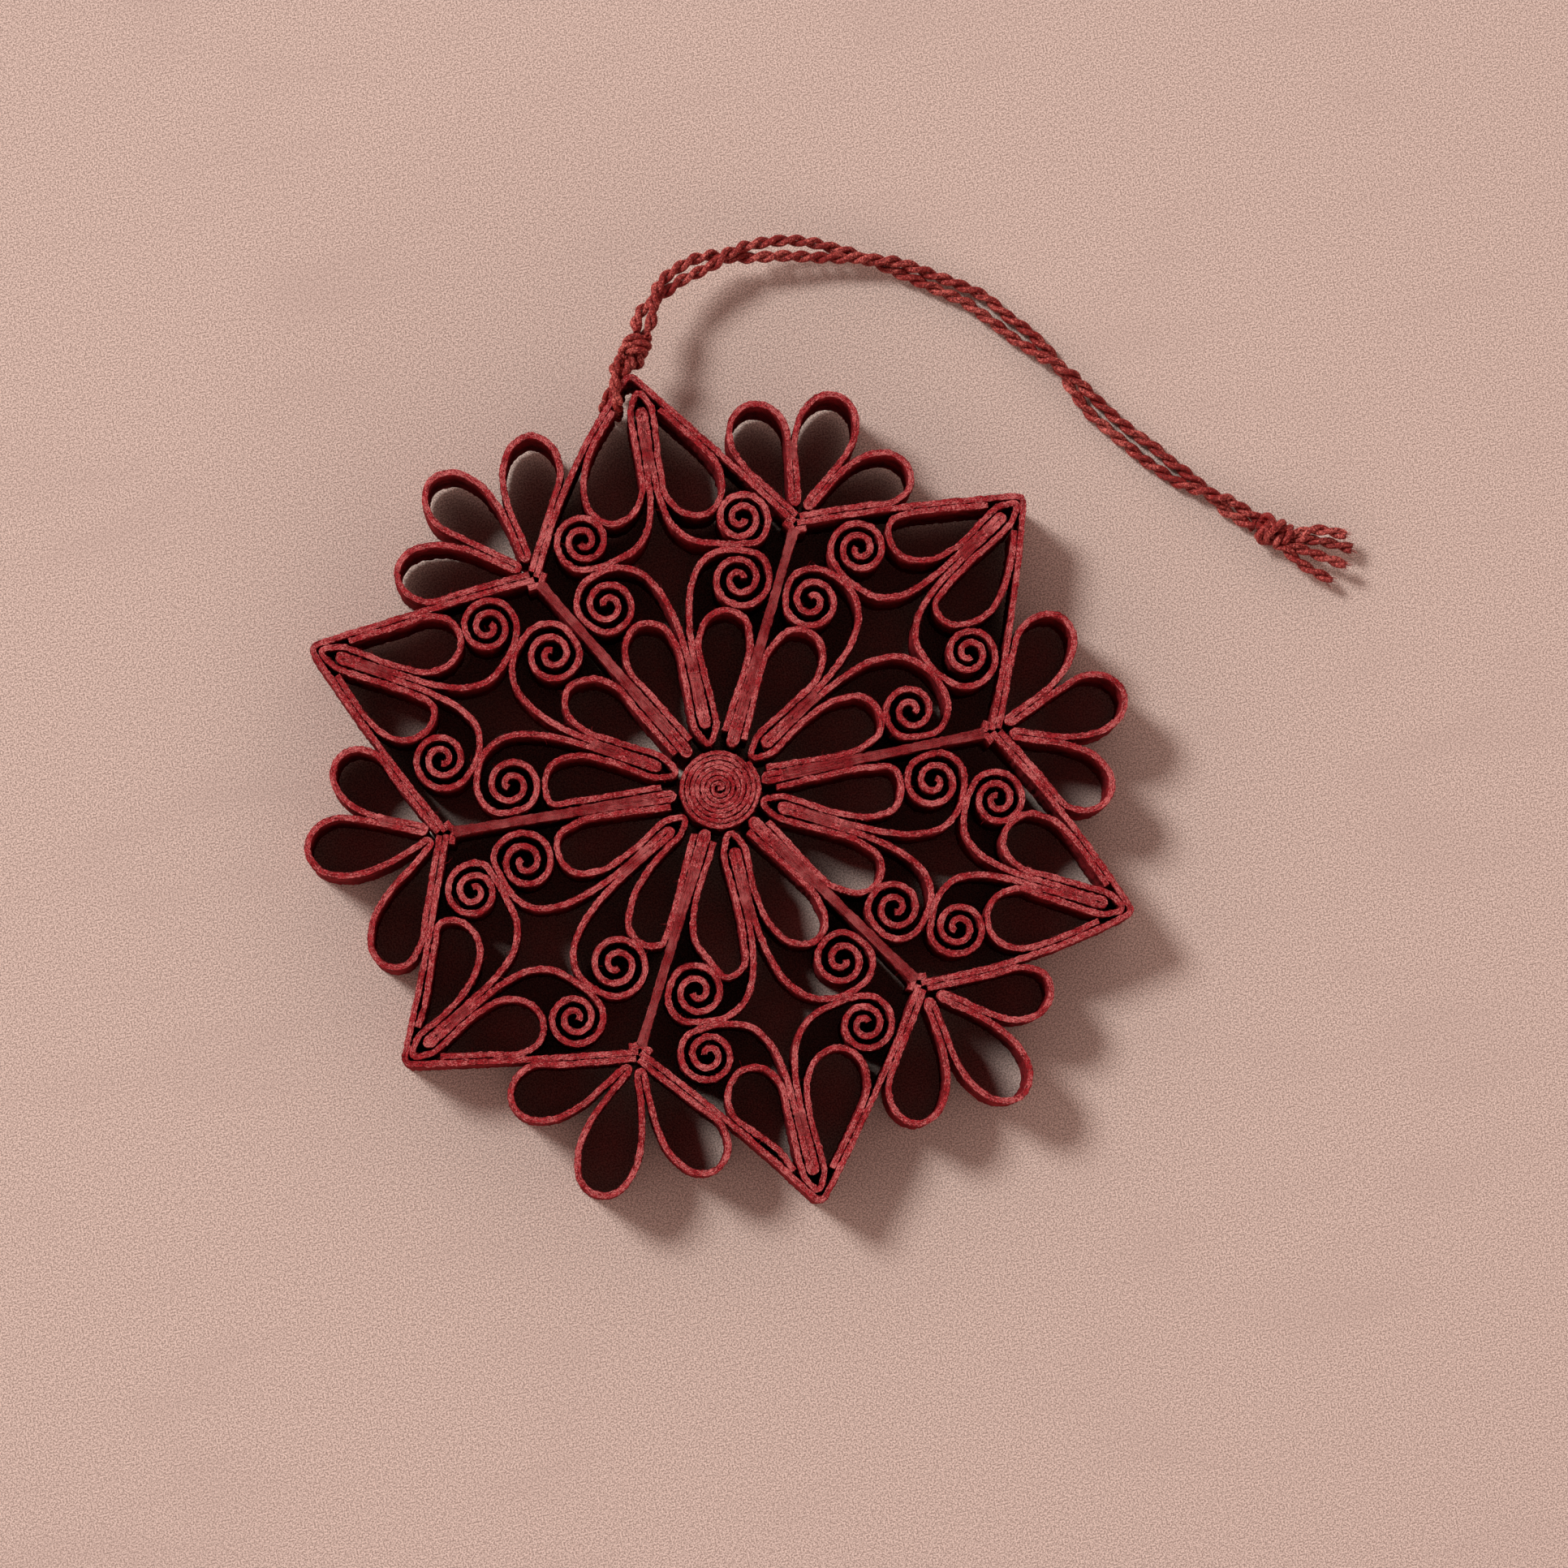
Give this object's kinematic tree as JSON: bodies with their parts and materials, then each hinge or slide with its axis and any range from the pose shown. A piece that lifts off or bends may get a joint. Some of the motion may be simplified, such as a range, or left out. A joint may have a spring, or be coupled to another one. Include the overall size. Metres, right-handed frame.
{
  "type": "hanging paper ornament",
  "caption": "Flat star-shaped ornament built from folded and rolled paper strips standing on edge, with scrolls, petals, a coiled hub and a twisted hanging cord",
  "frame": {"origin": "on the underside, at the centre of the rolled hub", "axes": "+Z through the strips' width, away from the surface it lies on; +Y towards the tip that the cord holds; +X to its right, seen from above"},
  "size_m": [0.1362, 0.1195, 0.0105],
  "materials": {
    "paper": "matte, fibrous, dyed through",
    "cord": "matte twisted yarn"
  },
  "bodies": {
    "root": {"hub_coil": "paper", "star_point_1": "paper", "star_point_2": "paper", "star_point_3": "paper", "star_point_4": "paper", "star_point_5": "paper", "star_point_6": "paper", "spoke_1": "paper", "spoke_2": "paper", "spoke_3": "paper", "spoke_4": "paper", "spoke_5": "paper", "spoke_6": "paper", "outer_petals_1": "paper", "outer_petals_2": "paper", "outer_petals_3": "paper", "outer_petals_4": "paper", "outer_petals_5": "paper", "outer_petals_6": "paper", "outer_scrolls_1": "paper", "outer_scrolls_2": "paper", "outer_scrolls_3": "paper", "outer_scrolls_4": "paper", "outer_scrolls_5": "paper", "outer_scrolls_6": "paper", "inner_petals_1": "paper", "inner_petals_2": "paper", "inner_petals_3": "paper", "inner_petals_4": "paper", "inner_petals_5": "paper", "inner_petals_6": "paper", "inner_scrolls_1": "paper", "inner_scrolls_2": "paper", "inner_scrolls_3": "paper", "inner_scrolls_4": "paper", "inner_scrolls_5": "paper", "inner_scrolls_6": "paper", "valley_loops_1": "paper", "valley_loops_2": "paper", "valley_loops_3": "paper", "valley_loops_4": "paper", "valley_loops_5": "paper", "valley_loops_6": "paper", "cord_loop_left": "cord", "cord_loop_right": "cord", "tip_knot": "cord", "hanging_cord": "cord", "end_knot": "cord", "tassel_strand_1": "cord", "tassel_strand_2": "cord", "tassel_strand_3": "cord", "tassel_strand_4": "cord"}
  },
  "joints": []
}
